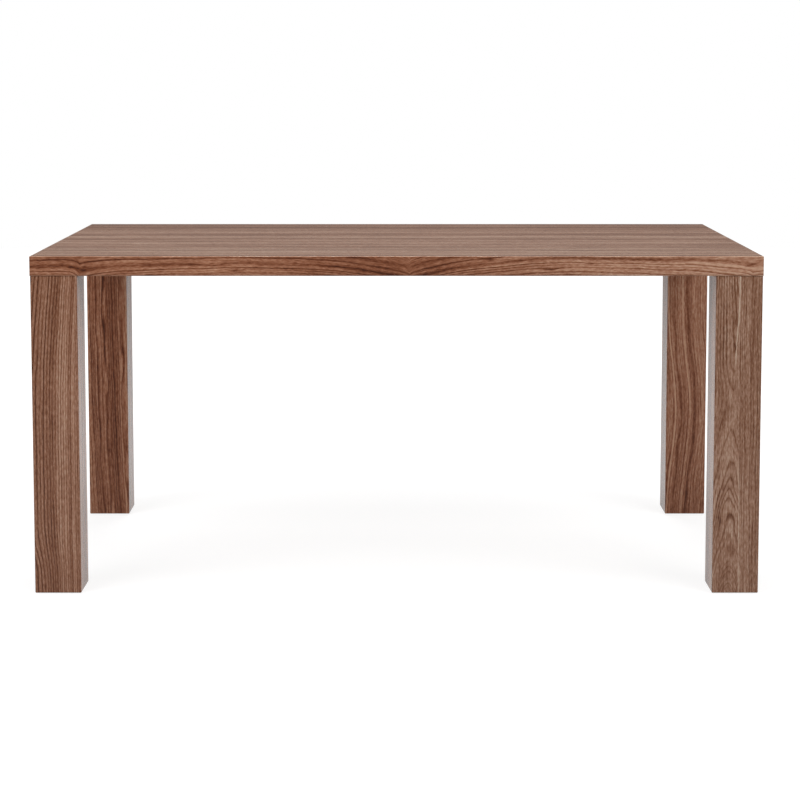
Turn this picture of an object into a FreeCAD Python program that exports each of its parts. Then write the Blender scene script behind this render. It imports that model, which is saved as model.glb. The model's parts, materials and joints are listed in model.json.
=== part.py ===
"""Parsons dining table: a veneered torsion-box top on four hollow, mitred legs.

Millimetres. The origin is on the floor under the middle of the top, +X runs along the top, +Z is up,
and the front edge faces -Y. Each leg is glued on the socket of a steel bracket, which is let into the
underside of the top and bolted there, and it stands on a glide that screws in and out of its end.
"""
import FreeCAD, Part
import math
import os
import re

import Sketcher
from FreeCAD import Placement, Rotation, Vector

SIZES = {
    # The whole table
    "table_length": 1600,
    "table_width": 900,
    "table_height": 750,
    # The top: veneers, skins, and the core between the skins
    "veneer": 0.6,
    "skin": 12,
    "core": 18,
    "rail_width": 40,
    "tenon_length": 12,
    "tenon_width": 24,
    "tenon_thickness": 7,
    "rib_thickness": 18,
    "housing_depth": 5,
    "block_margin": 35,
    "edge_easing": 0.4,
    # The legs
    "leg_width": 102,
    "leg_setback": 1,
    "panel": 15,
    "corner_easing": 0.8,
    "foot_easing": 1.5,
    "foot_block_height": 60,
    # The bracket on each leg: a plate, and the socket tube welded under it
    "bracket_plate": 4,
    "bracket_ear": 48,
    "bracket_corner": 12,
    "socket_length": 100,
    "socket_wall": 3,
    # The bolts, and the tapped plate in the top that they screw into
    "bolt_ear": 32,
    "bolt_along": 23,
    "bolt_thread": 8,
    "bolt_length": 20,
    "bolt_head": 13,
    "bolt_head_height": 5.3,
    "bolt_room": 3,
    "tapped_plate": 6,
    "tapped_margin": 12,
    # The glide, and the square nut that it screws into
    "glide_base": 32,
    "glide_thickness": 7,
    "glide_drop": 2,
    "glide_thread": 10,
    "glide_travel": 10,
    "glide_spare": 10,
    "slot_length": 14,
    "slot_width": 2,
    "slot_depth": 1.5,
    "nut_width": 24,
    "nut_thickness": 6,
    # Clearances on a radius or a side
    "wood_fit": 0.1,
    "plate_fit": 0.5,
    "thread_fit": 0.06,
    "hole_fit": 0.5,
    "glide_room": 2,
}

# Formulas that several pieces share, in the sizes above
TOP = "(2 * veneer + 2 * skin + core)"
UNDERSIDE = f"(table_height - {TOP})"
CORE_BASE = f"({UNDERSIDE} + veneer + skin)"
CORE_LENGTH = "(table_length - 2 * veneer)"
CORE_WIDTH = "(table_width - 2 * veneer)"
BAY_LENGTH = f"({CORE_LENGTH} - 2 * rail_width)"
BAY_WIDTH = f"({CORE_WIDTH} - 2 * rail_width)"
CAVITY = "(leg_width - 2 * panel)"
SOCKET = f"({CAVITY} - 2 * wood_fit)"
PLATE_OUT = f"({CAVITY} / 2)"
PLATE_IN = "(leg_width / 2 + bracket_ear)"
BOLT_FAR = "(leg_width / 2 + bolt_ear)"
BOLT_HOLE = "(bolt_thread + 2 * hole_fit)"
TAPPED_HOLE = "(bolt_thread + 2 * thread_fit)"
TAPPED_LOW = "(bolt_along - tapped_margin)"
TAPPED_HIGH = f"({BOLT_FAR} + tapped_margin)"
GLIDE_SEAT = "(glide_thickness - glide_drop)"
GLIDE_STEM = "(nut_thickness + glide_travel + glide_spare)"

# The corners of the table in turning order, from the one that the pieces of a leg are drawn for
CORNERS = ("front_left", "front_right", "back_right", "back_left")
FACES = ("front", "right", "back", "left")
LONG_RIBS = ("front", "back")
CROSS_RIBS = ("left", "middle", "right")
BOLTS = ((BOLT_FAR, "bolt_along"), ("bolt_along", BOLT_FAR))

# Two points nearer than this are one point, and every sketch is first drawn roughly at this radius
SAME = 1e-4
ROUGH = 1

doc = FreeCAD.newDocument("parsons_dining_table")
sheet = doc.addObject("Spreadsheet::Sheet", "Sizes")
for row, (alias, size) in enumerate(SIZES.items(), start=1):
    sheet.set(f"A{row}", alias)
    sheet.set(f"B{row}", str(size))
    sheet.setAlias(f"B{row}", alias)
doc.recompute()

pieces = []


def bind(thing, prop, formula):
    """Ties a property to a formula whose words are names of sizes or the sheet's own functions."""
    text = re.sub(r"[a-z_]+", lambda m: f"Sizes.{m[0]}" if m[0] in SIZES else m[0], formula)
    thing.setExpression(prop, text)


def quarter_turn(name, names):
    """The turn, in degrees, that takes the first of four names to this one."""
    return 360 * names.index(name) / len(names)


def place(thing, x="0", y="0", z="0", turn=0):
    """Turns a piece about the vertical, and ties its origin to three formulas."""
    thing.Placement = Placement(Vector(), Rotation(Vector(0, 0, 1), turn))
    for axis, formula in zip("xyz", (x, y, z)):
        bind(thing, f"Placement.Base.{axis}", formula)


def new_body(label, **where):
    """An empty body in its place."""
    body = doc.addObject("PartDesign::Body", label)
    body.Label = label
    place(body, **where)
    return body


def piece(label, **where):
    """A body that is written out as a piece of the table."""
    body = new_body(label, **where)
    pieces.append(body)
    return body


def sketch_on(body, plane, height="0"):
    """An empty sketch, parallel to one of the body's own planes and raised from it along its normal."""
    sketch = body.newObject("Sketcher::SketchObject", f"{body.Name}_sketch")
    sketch.AttachmentSupport = [(next(f for f in body.Origin.OriginFeatures if f.Role == plane), "")]
    sketch.MapMode = "FlatFace"
    bind(sketch, "AttachmentOffset.Base.z", height)
    return sketch


def pin(sketch, geometry, point, formulas, start):
    """Ties one point of a sketch to two formulas, measured from the sketch's origin."""
    for kind, formula, value in zip(("DistanceX", "DistanceY"), formulas, start):
        constraint = sketch.addConstraint(Sketcher.Constraint(kind, -1, 1, geometry, point, value))
        bind(sketch, f"Constraints[{constraint}]", formula)


def draw_outline(sketch, corners):
    """Closes straight lines through corners that are given by formulas. They start on a small circle."""
    turns = [2 * math.pi * k / len(corners) for k in range(len(corners))]
    rough = [Vector(ROUGH * math.cos(a), ROUGH * math.sin(a), 0) for a in turns]
    first = sketch.GeometryCount
    lines = list(range(first, first + len(corners)))
    for start, end in zip(rough, rough[1:] + rough[:1]):
        sketch.addGeometry(Part.LineSegment(start, end), False)
    for line, following in zip(lines, lines[1:] + lines[:1]):
        sketch.addConstraint(Sketcher.Constraint("Coincident", line, 2, following, 1))
    for line, formulas, start in zip(lines, corners, rough):
        pin(sketch, line, 1, formulas, (start.x, start.y))


def draw_box(sketch, low, high):
    """A rectangle between two opposite corners."""
    draw_outline(sketch, [low, (high[0], low[1]), high, (low[0], high[1])])


def draw_middle_box(sketch, length, width, middle=("0", "0")):
    """A rectangle of a length and a width about its middle."""
    low = tuple(f"{m} - {size} / 2" for m, size in zip(middle, (length, width)))
    high = tuple(f"{m} + {size} / 2" for m, size in zip(middle, (length, width)))
    draw_box(sketch, low, high)


def draw_circle(sketch, diameter, middle=("0", "0")):
    """A circle of a diameter about a middle."""
    circle = sketch.addGeometry(Part.Circle(Vector(), Vector(0, 0, 1), ROUGH), False)
    pin(sketch, circle, 3, middle, (0, 0))
    constraint = sketch.addConstraint(Sketcher.Constraint("Diameter", circle, 2 * ROUGH))
    bind(sketch, f"Constraints[{constraint}]", diameter)


def add(body, kind, sketch, **bound):
    """Adds a feature that is made from a sketch, with its sizes tied to formulas."""
    feature = body.newObject(f"PartDesign::{kind}", f"{body.Name}_{kind.lower()}")
    feature.Profile = sketch
    for prop, formula in bound.items():
        bind(feature, prop, formula)
    sketch.Visibility = False
    return feature


def pad(body, sketch, length):
    """Raises a sketch along its normal."""
    add(body, "Pad", sketch, Length=length)


def revolve(body, sketch):
    """Turns a sketch of half a section once around its upright axis."""
    feature = add(body, "Revolution", sketch)
    feature.ReferenceAxis = (sketch, ["V_Axis"])
    feature.Angle = 360


def cut(body, kind, sketch, downwards=True, **bound):
    """Takes a sketch's sweep out of the body, and stops if nothing was taken."""
    doc.recompute()
    before = body.Shape.Volume
    feature = add(body, kind, sketch, **bound)
    if kind == "Groove":
        feature.ReferenceAxis = (sketch, ["V_Axis"])
        feature.Angle = 360
    else:
        feature.Reversed = not downwards
    doc.recompute()
    if not body.Shape.Volume < before:
        raise RuntimeError(f"{body.Label}: a {kind} cut nothing")


def ease(body, size, chosen):
    """Chamfers the edges of the body's last feature that a test picks out."""
    doc.recompute()
    base = body.Tip
    names = [f"Edge{k}" for k, edge in enumerate(base.Shape.Edges, start=1) if chosen(edge)]
    feature = body.newObject("PartDesign::Chamfer", f"{body.Name}_chamfer")
    feature.Base = (base, names)
    bind(feature, "Size", size)


def lies_at(edge, axis, level):
    """Whether all of an edge is at one level along an axis, in its body's own frame."""
    return all(abs(getattr(v.Point, axis) - level) < SAME for v in edge.Vertexes)


def is_upright(edge):
    """Whether an edge is parallel to Z."""
    ends = [v.Point for v in edge.Vertexes]
    rises = abs(ends[-1].z - ends[0].z) > SAME
    return rises and math.dist(ends[0][:2], ends[-1][:2]) < SAME


def on_rim(edge, box):
    """Whether an edge touches one of the four upright sides of a box."""
    spot = edge.Vertexes[0].Point
    return min(spot.x - box.XMin, box.XMax - spot.x, spot.y - box.YMin, box.YMax - spot.y) < SAME


def leg_spot(corner, x="0", y="0"):
    """A leg's axis at one corner, or a spot that lies further in by two distances, as formulas."""
    across = 1 if "right" in corner else -1
    along = 1 if "back" in corner else -1
    return (
        f"{across} * (table_length / 2 - leg_setback - leg_width / 2 - ({x}))",
        f"{along} * (table_width / 2 - leg_setback - leg_width / 2 - ({y}))",
    )


def at_leg(corner, z="0"):
    """The place of a piece of a leg, turned from the front left corner to this one."""
    x, y = leg_spot(corner)
    return {"x": x, "y": y, "z": z, "turn": quarter_turn(corner, CORNERS)}


def panel_of(label, length, width, thickness, **where):
    """A flat rectangular board or sheet about its middle, with its underside at its origin."""
    body = piece(label, **where)
    sketch = sketch_on(body, "XY_Plane")
    draw_middle_box(sketch, length, width)
    pad(body, sketch, thickness)
    return body


def make_face_veneers():
    """The veneer on the top, and the one that balances it underneath, with openings for the brackets."""
    upper = panel_of("top_face_veneer", "table_length", "table_width", "veneer", z="table_height - veneer")
    doc.recompute()
    face = upper.Tip.Shape.BoundBox.ZMax
    ease(upper, "edge_easing", lambda edge: lies_at(edge, "z", face))
    lower = panel_of("underside_veneer", "table_length", "table_width", "veneer", z=UNDERSIDE)
    doc.recompute()
    ease(lower, "edge_easing", lambda edge: lies_at(edge, "z", 0))
    cut_plate_recesses(lower, "veneer")


def make_edge_veneers():
    """The strips round the edge. Front and back run the whole length, left and right fit between them."""
    depth = f"({TOP} - 2 * veneer)"
    level = f"{UNDERSIDE} + veneer"
    for name, side in (("front", -1), ("back", 1)):
        panel_of(
            f"{name}_edge_veneer",
            "table_length",
            "veneer",
            depth,
            y=f"{side} * (table_width - veneer) / 2",
            z=level,
        )
    for name, side in (("left", -1), ("right", 1)):
        panel_of(
            f"{name}_edge_veneer",
            "veneer",
            CORE_WIDTH,
            depth,
            x=f"{side} * (table_length - veneer) / 2",
            z=level,
        )


def cut_plate_recesses(body, depth):
    """Sinks the four recesses with clipped corners that take the leg brackets, upwards from the underside."""
    sketch = sketch_on(body, "XY_Plane")
    outer = f"-{PLATE_OUT} - plate_fit"
    inner = f"{PLATE_IN} + plate_fit"
    for corner in CORNERS:
        draw_box(sketch, leg_spot(corner, outer, outer), leg_spot(corner, inner, inner))
    cut(body, "Pocket", sketch, downwards=False, Length=depth)
    box = body.Tip.Shape.BoundBox
    ease(body, "bracket_corner", lambda edge: is_upright(edge) and not on_rim(edge, box))


def make_skins():
    """The upper skin is plain. The lower one has the brackets' recesses and the bolts' holes."""
    panel_of("upper_skin", CORE_LENGTH, CORE_WIDTH, "skin", z=f"{CORE_BASE} + core")
    lower = panel_of("lower_skin", CORE_LENGTH, CORE_WIDTH, "skin", z=f"{UNDERSIDE} + veneer")
    cut_plate_recesses(lower, "bracket_plate - veneer")
    sketch = sketch_on(lower, "XY_Plane")
    for corner in CORNERS:
        for x, y in BOLTS:
            draw_circle(sketch, BOLT_HOLE, leg_spot(corner, x, y))
    cut(lower, "Pocket", sketch, downwards=False, Length="skin")


def rib_place(index, count, bay):
    """Where a rib stands, with its fellows spread evenly over a bay."""
    return f"({index - (count - 1) / 2} * {bay} / {count + 1})"


def make_long_rails():
    """The front and back rails of the core, with a mortise at each end and a housing for each cross rib."""
    for name, side in (("front", -1), ("back", 1)):
        rail = panel_of(
            f"{name}_rail",
            CORE_LENGTH,
            "rail_width",
            "core",
            y=f"{side} * ({CORE_WIDTH} - rail_width) / 2",
            z=CORE_BASE,
        )
        inner = f"{-side} * rail_width / 2"
        mortises = sketch_on(rail, "XY_Plane", "(core + tenon_thickness) / 2 + wood_fit")
        for end in (-1, 1):
            middle = f"{end} * ({CORE_LENGTH} - rail_width) / 2"
            low = (f"{middle} - tenon_width / 2 - wood_fit", f"{inner} + {side} * (tenon_length + wood_fit)")
            draw_box(mortises, low, (f"{middle} + tenon_width / 2 + wood_fit", inner))
        cut(rail, "Pocket", mortises, Length="tenon_thickness + 2 * wood_fit")
        housings = sketch_on(rail, "XY_Plane", "core")
        for k in range(len(CROSS_RIBS)):
            middle = rib_place(k, len(CROSS_RIBS), BAY_LENGTH)
            low = (f"{middle} - rib_thickness / 2 - wood_fit", f"{inner} + {side} * housing_depth")
            draw_box(housings, low, (f"{middle} + rib_thickness / 2 + wood_fit", inner))
        cut(rail, "Pocket", housings, Length="core")


def make_short_rails():
    """The left and right rails of the core, with a stub tenon at each end and a housing for each long rib."""
    for name, side in (("left", -1), ("right", 1)):
        rail = panel_of(
            f"{name}_rail",
            "rail_width",
            BAY_WIDTH,
            "core",
            x=f"{side} * ({CORE_LENGTH} - rail_width) / 2",
            z=CORE_BASE,
        )
        tenons = sketch_on(rail, "XY_Plane", "(core - tenon_thickness) / 2")
        draw_middle_box(tenons, "tenon_width", f"({BAY_WIDTH} + 2 * tenon_length)")
        pad(rail, tenons, "tenon_thickness")
        inner = f"{-side} * rail_width / 2"
        housings = sketch_on(rail, "XY_Plane", "core")
        for k in range(len(LONG_RIBS)):
            middle = rib_place(k, len(LONG_RIBS), BAY_WIDTH)
            low = (f"{inner} + {side} * housing_depth", f"{middle} - rib_thickness / 2 - wood_fit")
            draw_box(housings, low, (inner, f"{middle} + rib_thickness / 2 + wood_fit"))
        cut(rail, "Pocket", housings, Length="core")


def make_ribs():
    """The ribs of the core, half-lapped where they cross: long ribs are notched below, cross ribs above."""
    notch = "(rib_thickness + 2 * wood_fit)"
    for k, name in enumerate(LONG_RIBS):
        rib = panel_of(
            f"{name}_long_rib",
            f"({BAY_LENGTH} + 2 * housing_depth)",
            "rib_thickness",
            "core",
            y=rib_place(k, len(LONG_RIBS), BAY_WIDTH),
            z=CORE_BASE,
        )
        laps = sketch_on(rib, "XY_Plane")
        for n in range(len(CROSS_RIBS)):
            draw_middle_box(laps, notch, notch, (rib_place(n, len(CROSS_RIBS), BAY_LENGTH), "0"))
        cut(rib, "Pocket", laps, downwards=False, Length="core / 2")
    for k, name in enumerate(CROSS_RIBS):
        rib = panel_of(
            f"{name}_cross_rib",
            "rib_thickness",
            f"({BAY_WIDTH} + 2 * housing_depth)",
            "core",
            x=rib_place(k, len(CROSS_RIBS), BAY_LENGTH),
            z=CORE_BASE,
        )
        laps = sketch_on(rib, "XY_Plane", "core")
        for n in range(len(LONG_RIBS)):
            draw_middle_box(laps, notch, notch, ("0", rib_place(n, len(LONG_RIBS), BAY_WIDTH)))
        cut(rib, "Pocket", laps, Length="core / 2")


def make_corner_block(corner):
    """A block in a corner of the core, hollowed underneath for the tapped plate and the bolts' ends."""
    block = piece(f"{corner}_corner_block", **at_leg(corner, CORE_BASE))
    low = "(veneer + rail_width - leg_setback - leg_width / 2)"
    high = f"({BOLT_FAR} + block_margin)"
    sketch = sketch_on(block, "XY_Plane")
    draw_box(sketch, (low, low), (high, high))
    pad(block, sketch, "core")
    hollow = sketch_on(block, "XY_Plane")
    near = f"{TAPPED_LOW} - wood_fit"
    far = f"{TAPPED_HIGH} + wood_fit"
    draw_box(hollow, (near, near), (far, far))
    cut(block, "Pocket", hollow, downwards=False, Length="tapped_plate + bolt_room")


def make_tapped_plate(corner):
    """The steel plate inside a corner of the top, on the lower skin, that the leg's bolts screw into."""
    plate = piece(f"{corner}_tapped_plate", **at_leg(corner, CORE_BASE))
    sketch = sketch_on(plate, "XY_Plane")
    draw_box(sketch, (TAPPED_LOW, TAPPED_LOW), (TAPPED_HIGH, TAPPED_HIGH))
    pad(plate, sketch, "tapped_plate")
    holes = sketch_on(plate, "XY_Plane")
    for middle in BOLTS:
        draw_circle(holes, TAPPED_HOLE, middle)
    cut(plate, "Pocket", holes, downwards=False, Length="tapped_plate")


def make_leg_panels(corner):
    """The four mitred panels of a leg. Each is drawn as the front one, with its outer corners eased."""
    half = "leg_width / 2"
    outside = f"-{half}"
    profile = [
        (f"-{half} + corner_easing", outside),
        (f"{half} - corner_easing", outside),
        (f"{half} - corner_easing / 2", f"{outside} + corner_easing / 2"),
        (f"{half} - panel", f"{outside} + panel"),
        (f"-{half} + panel", f"{outside} + panel"),
        (f"-{half} + corner_easing / 2", f"{outside} + corner_easing / 2"),
    ]
    for face in FACES:
        where = {**at_leg(corner, "glide_drop"), "turn": quarter_turn(face, FACES)}
        board = piece(f"{corner}_leg_{face}_panel", **where)
        sketch = sketch_on(board, "XY_Plane")
        draw_outline(sketch, profile)
        pad(board, sketch, f"{UNDERSIDE} - glide_drop")
        doc.recompute()
        front = board.Tip.Shape.BoundBox.YMin
        ease(board, "foot_easing", lambda e: lies_at(e, "z", 0) and lies_at(e, "y", front))


def make_foot_block(corner):
    """The block in the foot of a leg, bored for the glide, with a square seat for its nut."""
    foot = piece(f"{corner}_leg_foot_block", **at_leg(corner, "glide_drop"))
    sketch = sketch_on(foot, "XY_Plane")
    draw_middle_box(sketch, CAVITY, CAVITY)
    pad(foot, sketch, "foot_block_height")
    base = "(glide_base / 2 + glide_room)"
    stem = "(glide_thread / 2 + hole_fit)"
    end = f"({GLIDE_SEAT} + {GLIDE_STEM} + glide_room)"
    section = sketch_on(foot, "XZ_Plane")
    draw_outline(
        section,
        [("0", "0"), (base, "0"), (base, GLIDE_SEAT), (stem, GLIDE_SEAT), (stem, end), ("0", end)],
    )
    cut(foot, "Groove", section)
    seat = sketch_on(foot, "XY_Plane", GLIDE_SEAT)
    width = "(nut_width + 2 * wood_fit)"
    draw_middle_box(seat, width, width)
    cut(foot, "Pocket", seat, downwards=False, Length="nut_thickness")


def make_foot_nut(corner):
    """The square nut that a glide screws into."""
    nut = piece(f"{corner}_foot_nut", **at_leg(corner, "glide_thickness"))
    sketch = sketch_on(nut, "XY_Plane")
    draw_middle_box(sketch, "nut_width", "nut_width")
    draw_circle(sketch, "glide_thread + 2 * thread_fit")
    pad(nut, sketch, "nut_thickness")


def make_bracket(corner):
    """The steel bracket of a leg: a plate with an ear for the bolts, and a socket tube down into the leg."""
    bracket = piece(f"{corner}_leg_bracket", **at_leg(corner, UNDERSIDE))
    sketch = sketch_on(bracket, "XY_Plane")
    draw_box(sketch, (f"-{PLATE_OUT}", f"-{PLATE_OUT}"), (PLATE_IN, PLATE_IN))
    pad(bracket, sketch, "bracket_plate")
    ease(bracket, "bracket_corner", is_upright)
    socket = sketch_on(bracket, "XY_Plane", "-socket_length")
    draw_middle_box(socket, SOCKET, SOCKET)
    draw_middle_box(socket, f"({SOCKET} - 2 * socket_wall)", f"({SOCKET} - 2 * socket_wall)")
    pad(bracket, socket, "socket_length")
    holes = sketch_on(bracket, "XY_Plane")
    for middle in BOLTS:
        draw_circle(holes, BOLT_HOLE, middle)
    cut(bracket, "Pocket", holes, downwards=False, Length="bracket_plate")


def make_glide(corner):
    """A levelling glide: a round base, its threaded stem, and a slot for a screwdriver."""
    glide = piece(f"{corner}_glide", **at_leg(corner))
    base = "glide_base / 2"
    stem = "glide_thread / 2"
    tip = f"glide_thickness + {GLIDE_STEM}"
    section = sketch_on(glide, "XZ_Plane")
    foot = [("0", "0"), (base, "0"), (base, "glide_thickness"), (stem, "glide_thickness")]
    draw_outline(section, [*foot, (stem, tip), ("0", tip)])
    revolve(glide, section)
    slot = sketch_on(glide, "XY_Plane")
    draw_middle_box(slot, "slot_length", "slot_width")
    cut(glide, "Pocket", slot, downwards=False, Length="slot_depth")


def bolt_pattern():
    """A hexagon bolt, head down, with its head's seat at its origin."""
    bolt = new_body("bolt")
    head = sketch_on(bolt, "XY_Plane", "-bolt_head_height")
    reach = "bolt_head / 2 / cos(30 deg)"
    draw_outline(head, [(f"{reach} * cos({60 * k} deg)", f"{reach} * sin({60 * k} deg)") for k in range(6)])
    pad(bolt, head, "bolt_head_height")
    shank = sketch_on(bolt, "XY_Plane")
    draw_circle(shank, "bolt_thread")
    pad(bolt, shank, "bolt_length")
    return bolt


def make_leg_bolts():
    """All the bolts, as copies of one, under the ears of the brackets."""
    pattern = bolt_pattern()
    copies = []
    for corner in CORNERS:
        for k, spot in enumerate(BOLTS):
            copy = doc.addObject("App::Link", f"bolt_{corner}_{k}")
            copy.LinkedObject = pattern
            copy.LinkTransform = False
            x, y = leg_spot(corner, *spot)
            place(copy, x, y, UNDERSIDE)
            copies.append(copy)
    bolts = doc.addObject("Part::Compound", "leg_bolts")
    bolts.Label = "leg_bolts"
    bolts.Links = copies
    pieces.append(bolts)


def check_document():
    """Stops if anything failed to compute, or if a piece's shape is empty or broken."""
    doc.recompute()
    failed = [o.Label for o in doc.Objects if {"Invalid", "Error"} & set(o.State)]
    broken = [p.Label for p in pieces if p.Shape.isNull() or not p.Shape.isValid()]
    if failed or broken:
        raise RuntimeError(f"failed: {failed}; broken: {broken}")


make_face_veneers()
make_edge_veneers()
make_skins()
make_long_rails()
make_short_rails()
make_ribs()
for corner in CORNERS:
    make_corner_block(corner)
    make_tapped_plate(corner)
    make_bracket(corner)
    make_leg_panels(corner)
    make_foot_block(corner)
    make_foot_nut(corner)
    make_glide(corner)
make_leg_bolts()
check_document()

os.makedirs("parts", exist_ok=True)
for node in pieces:
    node.Shape.exportStep(f"parts/{node.Label}.step")
    print(f"{node.Label}: {len(node.Shape.Solids)} solids, {node.Shape.Volume / 1000:.1f} cm3")
print(f"{len(pieces)} pieces")
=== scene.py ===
# %% [markdown]
# # A walnut dining table
# The solids of this table come from its CAD model: a veneered, hollow top on four hollow legs. Here they
# get their looks. The visible boards are remade as grids of points, so that their edges are rounded a
# little, as sandpaper leaves them, and so that every point of a leaf of veneer knows where it lay in the
# tree. The materials then draw the wood from that.

# %% Load the solids
import json
import math

import bpy
import numpy as np
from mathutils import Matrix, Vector


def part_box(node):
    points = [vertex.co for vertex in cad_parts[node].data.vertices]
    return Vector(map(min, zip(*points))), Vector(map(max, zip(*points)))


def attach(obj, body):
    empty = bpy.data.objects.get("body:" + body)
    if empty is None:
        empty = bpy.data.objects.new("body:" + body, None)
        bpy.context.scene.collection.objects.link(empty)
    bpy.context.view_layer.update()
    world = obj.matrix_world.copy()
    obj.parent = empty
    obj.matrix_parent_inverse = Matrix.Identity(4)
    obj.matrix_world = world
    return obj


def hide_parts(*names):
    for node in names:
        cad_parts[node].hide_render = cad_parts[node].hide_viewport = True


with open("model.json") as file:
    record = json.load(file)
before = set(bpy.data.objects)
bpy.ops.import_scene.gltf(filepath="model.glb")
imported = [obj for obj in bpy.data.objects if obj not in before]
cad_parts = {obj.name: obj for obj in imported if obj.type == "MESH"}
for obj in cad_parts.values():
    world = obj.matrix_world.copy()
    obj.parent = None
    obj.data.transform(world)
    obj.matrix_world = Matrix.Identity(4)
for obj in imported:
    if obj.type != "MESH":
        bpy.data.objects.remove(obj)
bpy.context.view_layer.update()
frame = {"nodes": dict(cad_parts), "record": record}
nodes = frame["nodes"]
slot_of = {row["node"]: row["material_slot"] for row in frame["record"]["subparts"]}

# %% [markdown]
# ## Camera
# The photograph looks straight at the front edge from a little above the top, with a long lens: the
# upright lines of the legs stay parallel. A view camera does that with a level lens that is slid down.
# Less than half of that slide is used here, and a small tilt makes up for the rest, so that the same lens
# also frames the table when it looks from other sides.

# %% Set up the camera
EYE = Vector((0.0075, -4.845, 1.164))
TILT_DOWN = math.radians(5.374)
LENS_MM = 91.26
SENSOR_MM = 36
SLIDE = -0.18


def new_object(name, data):
    """A new object in the scene, which holds a mesh, a lamp or a camera."""
    made = bpy.data.objects.new(name, data)
    bpy.context.scene.collection.objects.link(made)
    return made


camera_data = bpy.data.cameras.new("portrait_camera")
camera_data.sensor_width = SENSOR_MM
camera_data.lens = LENS_MM
camera_data.shift_y = SLIDE
camera = new_object("portrait_camera", camera_data)
camera.location = EYE
camera.rotation_euler = (math.pi / 2 - TILT_DOWN, 0, 0)
bpy.context.scene.camera = camera
print(f"camera {-EYE.y:.2f} m in front of the table's middle, {LENS_MM} mm lens")

# %% [markdown]
# ## Shader helpers
# A material in Blender is a graph of nodes. Short helpers keep the cells that follow readable: one fills
# the inputs of a node, with values or with links from other nodes, one adds a node, and the others add
# the kinds of node that come back most often.

# %% Node helpers


def fill(tree, node, inputs):
    """Fills inputs of a node with values, or with links from sockets."""
    for key, value in inputs.items():
        if isinstance(value, bpy.types.NodeSocket):
            tree.links.new(value, node.inputs[key])
        else:
            node.inputs[key].default_value = value


def add(tree, kind, inputs=None, **settings):
    """Adds a shader node, sets its properties and fills its inputs."""
    new = tree.nodes.new(kind)
    for name, value in settings.items():
        setattr(new, name, value)
    fill(tree, new, inputs or {})
    return new


def calc(tree, operation, *values):
    """The result of a Math node on numbers or sockets."""
    return add(tree, "ShaderNodeMath", dict(enumerate(values)), operation=operation).outputs[0]


def mixed(tree, factor, first, second):
    """A number from the first to the second by a factor, which a Mix node takes at inputs 2, 3 and 0."""
    return add(tree, "ShaderNodeMix", {0: factor, 2: first, 3: second}).outputs[0]


def mapped(tree, value, start, end, first, last):
    """A number that goes from the first to the last while a value goes from the start to the end."""
    inputs = {"Value": value, 1: start, 2: end, 3: first, 4: last}
    return add(tree, "ShaderNodeMapRange", inputs).outputs["Result"]


def grey(level):
    """A grey as a colour."""
    return level, level, level, 1


def ramp(tree, factor, stops):
    """The colour that a ramp of (place, colour) stops gives for a factor. One number stands for a grey."""
    new = add(tree, "ShaderNodeValToRGB", {"Fac": factor})
    elements = new.color_ramp.elements
    while len(elements) < len(stops):
        elements.new(1)
    for element, (place, colour) in zip(elements, stops):
        element.position = place
        element.color = (*colour, 1) if isinstance(colour, tuple) else grey(colour)
    return new.outputs["Color"]


def bumped(tree, height, strength, distance):
    """The normal of a surface that a height raises, by at most a distance in metres."""
    inputs = {"Height": height, "Strength": strength, "Distance": distance}
    return add(tree, "ShaderNodeBump", inputs).outputs["Normal"]


def new_material(name):
    """A new material, its node tree and its Principled shader."""
    material = bpy.data.materials.new(name)
    material.use_nodes = True
    tree = material.node_tree
    return material, tree, tree.nodes["Principled BSDF"]


print("node helpers ready")

# %% [markdown]
# ## Walnut
# A leaf of veneer is a thin flat slice of a log. Where the slice cuts the growth rings it shows lines:
# straight ones far from the heart of the tree, nested arches close to it. A wave texture could draw lines
# too, but they wouldn't close into arches. So each point of a leaf carries its ring number, and the shader
# only has to turn the fraction of that number into pale early wood and a dark late line. On top lie bands
# of darker years, fibres that run along the grain, and short dark pores. Satin lacquer covers it all.

# %% Noise on the wood
NOISE_ROUGHNESS = 0.6


def stretched_noise(tree, vector, across, along, detail=3.0):
    """Noise on a leaf's own coordinates, with so many features per metre across and along the grain."""
    scaled = add(tree, "ShaderNodeMapping", {"Vector": vector, "Scale": (across, along, 1.0)})
    place = scaled.outputs["Vector"]
    inputs = {"Vector": place, "Scale": 1.0, "Detail": detail, "Roughness": NOISE_ROUGHNESS}
    return add(tree, "ShaderNodeTexNoise", inputs).outputs["Fac"]


def ring_noise(tree, ring, per_ring, detail=1.0):
    """Noise that is the same all along a ring, with so many features per ring."""
    inputs = {"W": ring, "Scale": per_ring, "Detail": detail}
    return add(tree, "ShaderNodeTexNoise", inputs, noise_dimensions="1D").outputs["Fac"]


def centred(tree, value, gain):
    """A noise value moved to swing about zero and made larger or smaller."""
    return calc(tree, "MULTIPLY", calc(tree, "SUBTRACT", value, 0.5), gain)


print("wood noise ready")

# %% Lines of the growth rings
LATE_WOOD = [(0.0, 0.3), (0.22, 0.0), (0.6, 0.12), (0.87, 1.0), (1.0, 0.3)]
LINE_GAIN = 1.6
LINE_START = -0.85
LINE_DEPTH = 0.75
BAND_DEPTH = 0.7


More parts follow.
